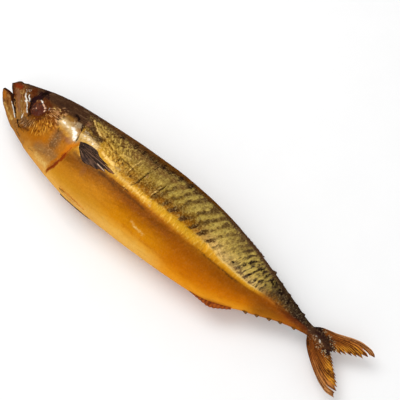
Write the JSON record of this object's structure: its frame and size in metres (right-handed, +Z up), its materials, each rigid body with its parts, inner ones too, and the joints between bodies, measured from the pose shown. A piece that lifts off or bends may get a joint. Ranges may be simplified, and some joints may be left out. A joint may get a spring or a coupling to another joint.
{
  "type": "smoked mackerel",
  "caption": "Whole head-on smoked mackerel lying on its side, with an open mouth, folded fins, finlets and a forked tail.",
  "frame": {"origin": "centre of the bounding box in plan, at the table under the right flank", "axes": "+X from the snout to the tail, +Y towards the back, +Z up through the left flank"},
  "size_m": [0.3312, 0.0662, 0.0413],
  "materials": {
    "skin": "oily smoked skin"
  },
  "bodies": {
    "root": {"fish": "skin"}
  },
  "joints": []
}
